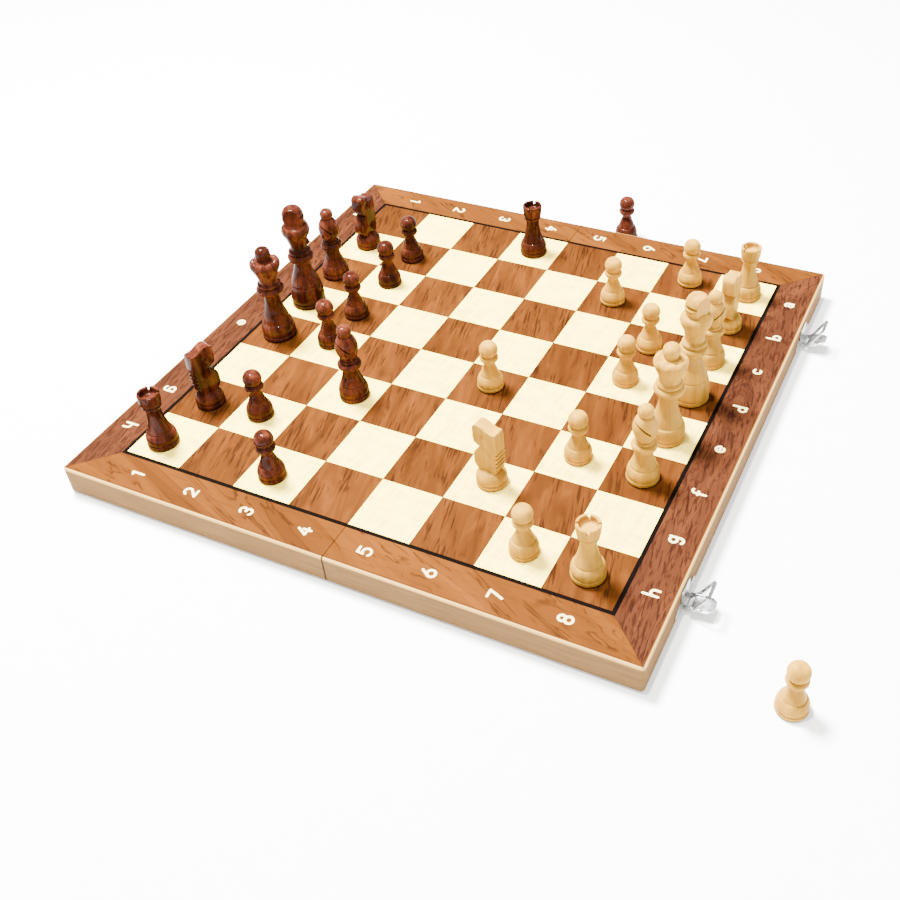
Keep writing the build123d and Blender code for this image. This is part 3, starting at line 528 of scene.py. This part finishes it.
def finish_metal(nodes):
    nickel = metal("nickel", (0.24, 0.24, 0.24), (0.46, 0.46, 0.46), 0.24)
    brass = metal("brass", (0.10, 0.055, 0.012), (0.18, 0.10, 0.025), 0.24)
    for name in nodes:
        if name.startswith("latch_") or name.endswith("_screws"):
            dress(nodes[name], nickel)
        if "hinge" in name:
            dress(nodes[name], brass)


# ------------------------------------------------------------------ chessmen

def dark_men_wood():
    """Reddish-brown varnished wood, with near-black and orange-brown bands up the grain."""
    graph = Graph("dark_men_wood")
    black, red, brown, orange = (
        (0.0120, 0.0030, 0.0016), (0.034, 0.0078, 0.0038), (0.060, 0.0138, 0.0062), (0.092, 0.0225, 0.0095),
    )
    line_colour = (0.010, 0.0024, 0.0011)
    grain = graph.noise(graph.stretched(graph.place, 1, 1, 0.16), 210, 4, 0.6, 0.9)
    fine = graph.noise(graph.stretched(graph.place, 1, 1, 0.05), 1100, 3, 0.6)
    cloud = graph.noise(graph.place, 45, 2)
    base = graph.ramp(grain, (0.30, black), (0.46, red), (0.60, brown), (0.76, orange))
    colour = graph.blend(graph.between(fine, 0.5, 0.7, 0, 0.3), base, line_colour)
    colour = graph.shaded(colour, graph.between(cloud, 0.35, 0.65, 0.5, 1.3))
    rough = graph.between(grain, 0.3, 0.7, 0.2, 0.3)
    varnish = {"Specular_IOR_Level": 0.002, "Coat_Weight": 0.07, "Coat_Roughness": 0.03}
    return graph.finish(colour, rough, graph.bump(fine, 0.02, 0.0002), **varnish)


def light_men_wood():
    """Pale boxwood under a satin varnish."""
    graph = Graph("light_men_wood")
    deep, middle, pale = (0.25, 0.122, 0.0110), (0.33, 0.166, 0.0165), (0.41, 0.212, 0.0240)
    line_colour = (0.16, 0.072, 0.010)
    grain = graph.noise(graph.stretched(graph.place, 1, 1, 0.12), 170, 4, 0.55, 0.7)
    fine = graph.noise(graph.stretched(graph.place, 1, 1, 0.04), 1200, 3, 0.6)
    base = graph.ramp(grain, (0.3, deep), (0.5, middle), (0.7, pale))
    colour = graph.blend(graph.between(fine, 0.52, 0.75, 0, 0.2), base, line_colour)
    rough = graph.between(grain, 0.3, 0.7, 0.32, 0.42)
    varnish = {"Specular_IOR_Level": 0.02, "Coat_Weight": 0.02, "Coat_Roughness": 0.12}
    return graph.finish(colour, rough, graph.bump(fine, 0.03, 0.0002), **varnish)


def spaced(points):
    """The same run of points with none further apart than STEP."""
    made = [points[0]]
    for start, end in zip(points, points[1:]):
        count = max(1, math.ceil(math.dist(start, end) / STEP))
        for n in range(1, count + 1):
            made.append(tuple(a + (b - a) * n / count for a, b in zip(start, end)))
    return made


def curved(run):
    """A smooth curve through a run of points, level where it meets the axis."""
    if len(run) == 2:
        return spaced(run)
    before = (2 * run[0][0] - run[1][0], 2 * run[0][1] - run[1][1])
    after = (2 * run[-1][0] - run[-2][0], 2 * run[-1][1] - run[-2][1])
    if run[-1][0] == 0:
        after = (-run[-2][0], run[-2][1])
    ends = [before, *run, after]
    made = [run[0]]
    for p0, p1, p2, p3 in zip(ends, ends[1:], ends[2:], ends[3:]):
        count = max(2, math.ceil(math.dist(p1, p2) / STEP))
        for n in range(1, count + 1):
            t = n / count
            weights = (-t + 2 * t**2 - t**3, 2 - 5 * t**2 + 3 * t**3, t + 4 * t**2 - 3 * t**3, t**3 - t**2)
            spots = (p0, p1, p2, p3)
            made.append(tuple(sum(w * p[k] for w, p in zip(weights, spots)) / 2 for k in (0, 1)))
    return made


def toward(start, end, distance):
    """The point this far from start on the way to end."""
    share = min(0.4, distance / max(math.dist(start, end), distance))
    return tuple(a + (b - a) * share for a, b in zip(start, end))


def outline(steps):
    """Every point of a turned outline, its crisp edges cut by a small chamfer."""
    runs, run = [], [steps[0]]
    for step in steps[1:]:
        if step == "edge":
            runs.append(run)
            run = [run[-1]]
        else:
            run.append(step)
    runs.append(run)
    made = []
    for run in runs[1:]:
        points = curved(run)
        if made:
            points[0] = toward(points[0], points[1], CHAMFER)
        if run is not runs[-1]:
            points[-1] = toward(points[-1], points[-2], CHAMFER)
        made += points
    return made


def turned(points):
    """Vertices and faces of a solid of revolution, closed at the foot and at the top."""
    verts, faces = [(0, 0, points[0][1])], []
    for radius, height in points[:-1]:
        for n in range(AROUND):
            angle = math.tau * n / AROUND
            verts.append((radius * math.cos(angle), radius * math.sin(angle), height))
    verts.append((0, 0, points[-1][1]))
    last = len(verts) - 1
    for n in range(AROUND):
        m = (n + 1) % AROUND
        faces.append((0, 1 + m, 1 + n))
        faces.append((last, last - AROUND + n, last - AROUND + m))
        for row in range(len(points) - 2):
            low = 1 + row * AROUND
            faces.append((low + n, low + m, low + AROUND + m, low + AROUND + n))
    return verts, faces


def felt_pad(steps):
    """The felt disc glued under a man's foot, whose rim is among the outline's first points."""
    foot_radius = max(step[0] for step in steps[:5] if step != "edge")
    radius = foot_radius - FELT_INSET
    return turned([(radius - 0.1, 0.0), (radius, 0.08), (radius, FELT), (0, FELT)])


def shape_king(x, y, z):
    """Two flats on the finial, and a notch across each of its round sides."""
    if z <= KING_FLATS_FROM:
        return x, y, z
    half_width, height = KING_NOTCH
    room = half_width + KING_NOTCH_FLARE * abs(z - height)
    return max(-KING_FLAT, min(KING_FLAT, x)), max(-room, min(room, y)), z


def shape_queen(x, y, z):
    """Scallops in the coronet's rim."""
    if math.hypot(x, y) < CORONET_INNER_R or z < CORONET_FROM:
        return x, y, z
    lobe = 0.5 + 0.5 * math.cos(QUEEN_SCALLOPS * math.atan2(y, x))
    return x, y, z - SCALLOP_DEPTH * lobe**2 * min(1, (z - CORONET_FROM) / CORONET_RISE)


def as_object(name, verts, faces):
    mesh = bpy.data.meshes.new(name)
    mesh.from_pydata(verts, [], faces)
    mesh.update()
    made = bpy.data.objects.new(name, mesh)
    bpy.context.scene.collection.objects.link(made)
    return made


def block(size, turn=Matrix(), move=(0, 0, 0)):
    """Vertices and faces of a block, turned and then moved."""
    half = Vector(size) / 2
    verts = []
    for x in (-1, 1):
        for y in (-1, 1):
            for z in (-1, 1):
                verts.append(tuple(turn @ Vector((x * half.x, y * half.y, z * half.z)) + Vector(move)))
    faces = [(0, 1, 3, 2), (4, 6, 7, 5), (0, 4, 5, 1), (2, 3, 7, 6), (0, 2, 6, 4), (1, 5, 7, 3)]
    return verts, faces


def prism(points, half):
    """An (x, z) outline carried half each way along Y."""
    count = len(points)
    verts = [(x, -half, z) for x, z in points] + [(x, half, z) for x, z in points]
    faces = [tuple(range(count)), tuple(reversed(range(count, 2 * count)))]
    for n in range(count):
        m = (n + 1) % count
        faces.append((n, n + count, m + count, m))
    return verts, faces


def cut(solid, operation, *shapes):
    """Applies each shape to the solid by a Boolean operation, and returns the vertices and faces left."""
    made = as_object("blank", *solid)
    cutters = [as_object("cutter", *shape) for shape in shapes]
    for cutter in cutters:
        step = made.modifiers.new("cut", "BOOLEAN")
        step.operation = operation
        step.object = cutter
        step.solver = "EXACT"
    bpy.context.view_layer.update()
    mesh = made.evaluated_get(bpy.context.evaluated_depsgraph_get()).to_mesh()
    left = [tuple(v.co) for v in mesh.vertices], [tuple(f.vertices) for f in mesh.polygons]
    for used in [made, *cutters]:
        bpy.data.objects.remove(used)
    return left


def knight_head():
    """The sawn head: a side outline cut from a round blank, with eye rings and a notched mane."""
    points = []
    for run in KNIGHT_OUTLINE:
        points += curved(run)[:-1]
    points.append(KNIGHT_MANE[-1])
    head = prism(points, KNIGHT_HALF_THICK)
    low, high = KNIGHT_BLANK_HEIGHTS
    blank = turned([(KNIGHT_BLANK_R, low), (KNIGHT_BLANK_R, high), (0, high)])
    head = cut(head, "INTERSECT", blank)
    slant = Matrix.Rotation(math.radians(MANE_CUT_SLANT), 3, "Y")
    grooves = [block(MANE_CUT_SIZE, slant, (MANE_CUT_AT, 0, height)) for height in MANE_CUTS]
    rings = [eye_ring(side * KNIGHT_HALF_THICK) for side in (-1, 1)]
    return cut(head, "DIFFERENCE", *grooves, *rings)


def eye_ring(y):
    """A short tube along Y, which cuts the ring of an eye."""
    verts, faces = [], []
    inner, outer = EYE_RING_R
    corners = ((outer, -EYE_DEPTH), (outer, EYE_DEPTH), (inner, EYE_DEPTH), (inner, -EYE_DEPTH))
    for radius, depth in corners:
        for n in range(EYE_AROUND):
            angle = math.tau * n / EYE_AROUND
            verts.append((EYE[0] + radius * math.cos(angle), y + depth, EYE[1] + radius * math.sin(angle)))
    for row in range(len(corners)):
        low, high = row * EYE_AROUND, (row + 1) % len(corners) * EYE_AROUND
        for n in range(EYE_AROUND):
            m = (n + 1) % EYE_AROUND
            faces.append((low + n, high + n, high + m, low + m))
    return verts, faces


def man_shape(kind):
    """Wooden vertices and faces of one kind of man, in millimetres about its own axis."""
    verts, faces = turned(outline(TURNINGS[kind]))
    if kind == "king":
        verts = [shape_king(*v) for v in verts]
    if kind == "queen":
        verts = [shape_queen(*v) for v in verts]
    if kind == "bishop":
        slant = Matrix.Rotation(math.radians(BISHOP_CUT_SLANT), 3, "Y")
        verts, faces = cut((verts, faces), "DIFFERENCE", block(BISHOP_CUT, slant, BISHOP_CUT_AT))
    if kind == "rook":
        width, length, depth = ROOK_SAW
        saws = [block((x, y, depth), move=ROOK_SAW_AT) for x, y in ((width, length), (length, width))]
        verts, faces = cut((verts, faces), "DIFFERENCE", *saws)
    if kind == "knight":
        verts, faces = together((verts, faces), knight_head())
    return verts, faces


def together(one, other):
    """Two meshes' vertices and faces as one mesh's."""
    verts, faces = one
    more_verts, more_faces = other
    return verts + more_verts, faces + [tuple(n + len(verts) for n in face) for face in more_faces]


def foot_of(name):
    """Where a CAD man's foot stands, taken from the round rim of its felt."""
    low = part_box(name)[0].z
    spots = [v.co for v in bpy.data.objects[name].data.vertices if v.co.z < low + FELT * MM / 2]
    xs, ys = [v.x for v in spots], [v.y for v in spots]
    return Vector(((min(xs) + max(xs)) / 2, (min(ys) + max(ys)) / 2, low))


def add_men(nodes):
    """Turns every man afresh in fine mesh, standing just where its CAD node stands."""
    shapes = {kind: man_shape(kind) for kind in TURNINGS}
    dark, light, pad = dark_men_wood(), light_men_wood(), felt()
    for name in nodes:
        if not name.startswith(("dark_", "light_")):
            continue
        kind = name.split("_")[1]
        wooden_faces = len(shapes[kind][1])
        verts, faces = together(shapes[kind], felt_pad(TURNINGS[kind]))
        heading = Matrix.Rotation(math.radians(HEADINGS.get(name, 0)), 4, "Z")
        place = Matrix.Translation(foot_of(name)) @ heading @ Matrix.Scale(MM, 4)
        man = as_object(name + "_turned", [place @ Vector(v) for v in verts], faces)
        dress(man, dark if name.startswith("dark_") else light, pad)
        for index, face in enumerate(man.data.polygons):
            face.material_index = int(index >= wooden_faces)
        man.data.shade_smooth()
        if kind == "knight":
            add_rounding(man, KNIGHT_ROUNDING)
        add_creases(man, MEN_CREASE)
        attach(man, name)
        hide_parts(name)


def smooth_nodes(nodes):
    """Rounds the CAD nodes' sharp edges a little and shades their curved faces smooth."""
    for name, node in nodes.items():
        merge = node.modifiers.new("merge", "WELD")
        merge.merge_threshold = WELD
        if name.startswith("latch_"):
            add_rounding(node, LATCH_ROUNDING)
        elif name.endswith(("_walls", "_border_veneer")):
            add_rounding(node, BOARD_ROUNDING)
        node.data.shade_smooth()
        add_creases(node, BOARD_CREASE)


def add_rounding(node, width):
    rounding = node.modifiers.new("rounding", "BEVEL")
    rounding.width = width
    rounding.segments = 2
    rounding.limit_method = "ANGLE"
    rounding.angle_limit = math.radians(ROUNDED_FROM)


def add_creases(node, degrees):
    """Keeps edges sharper than this crisp under smooth shading."""
    parting = node.modifiers.new("parting", "EDGE_SPLIT")
    parting.split_angle = math.radians(degrees)


# ------------------------------------------------------------------ studio

def soft_lamp(name, place, size, power):
    """A round area lamp that points at the frame's origin."""
    lamp = bpy.data.lights.new(name, "AREA")
    lamp.shape = "DISK"
    lamp.size = size
    lamp.energy = power
    made = bpy.data.objects.new(name, lamp)
    made.location = place
    made.rotation_mode = "QUATERNION"
    made.rotation_quaternion = (-Vector(place)).to_track_quat("-Z", "Y")
    bpy.context.scene.collection.objects.link(made)


def floor_paper():
    graph = Graph("floor_paper")
    tooth = graph.noise(graph.place, 60, 2)
    colour = graph.ramp(tooth, (0.3, (0.92, 0.92, 0.90)), (0.7, (0.94, 0.94, 0.92)))
    graph.set(graph.shader.inputs["Emission Color"], colour)
    return graph.finish(colour, 0.9, Specular_IOR_Level=0.0, Emission_Strength=FLOOR_GLOW)


def add_sky():
    """White light from all round, stronger from above."""
    world = bpy.data.worlds.new("studio")
    world.use_nodes = True
    nodes, links = world.node_tree.nodes, world.node_tree.links
    background = nodes["Background"]
    background.inputs["Color"].default_value = (1.0, 1.0, 0.99, 1.0)
    facing = nodes.new("ShaderNodeTexCoord")
    height = nodes.new("ShaderNodeSeparateXYZ")
    glow = nodes.new("ShaderNodeMapRange")
    for socket, value in zip(("From Min", "From Max", "To Min", "To Max"), (*SKY_HEIGHTS, *SKY_GLOWS)):
        glow.inputs[socket].default_value = value
    links.new(facing.outputs["Generated"], height.inputs[0])
    links.new(height.outputs["Z"], glow.inputs["Value"])
    links.new(glow.outputs["Result"], background.inputs["Strength"])
    bpy.context.scene.world = world


def add_studio():
    half = FLOOR_SIZE / 2
    corners = [(x, y, -FLOOR_DROP) for x, y in ((-half, -half), (half, -half), (half, half), (-half, half))]
    floor = as_object("floor", corners, [(0, 1, 2, 3)])
    dress(floor, floor_paper())
    add_sky()
    for lamp in LAMPS:
        soft_lamp(*lamp)


def add_camera(top):
    data = bpy.data.cameras.new("camera")
    data.lens = FOCAL_MM
    data.sensor_width = SENSOR_MM
    data.shift_x, data.shift_y = SHIFT
    data.clip_start, data.clip_end = 0.01, 100
    data.dof.use_dof = False
    azimuth, elevation = math.radians(CAMERA_AZIMUTH), math.radians(CAMERA_ELEVATION)
    level = math.cos(elevation)
    back = Vector((math.sin(azimuth) * level, -math.cos(azimuth) * level, math.sin(elevation)))
    camera = bpy.data.objects.new("camera", data)
    camera.location = Vector((*AIM, top)) + back * CAMERA_DISTANCE
    camera.rotation_mode = "QUATERNION"
    roll = Quaternion(-back, math.radians(CAMERA_ROLL))
    camera.rotation_quaternion = roll @ (-back).to_track_quat("-Z", "Y")
    bpy.context.scene.collection.objects.link(camera)
    bpy.context.scene.camera = camera


main()
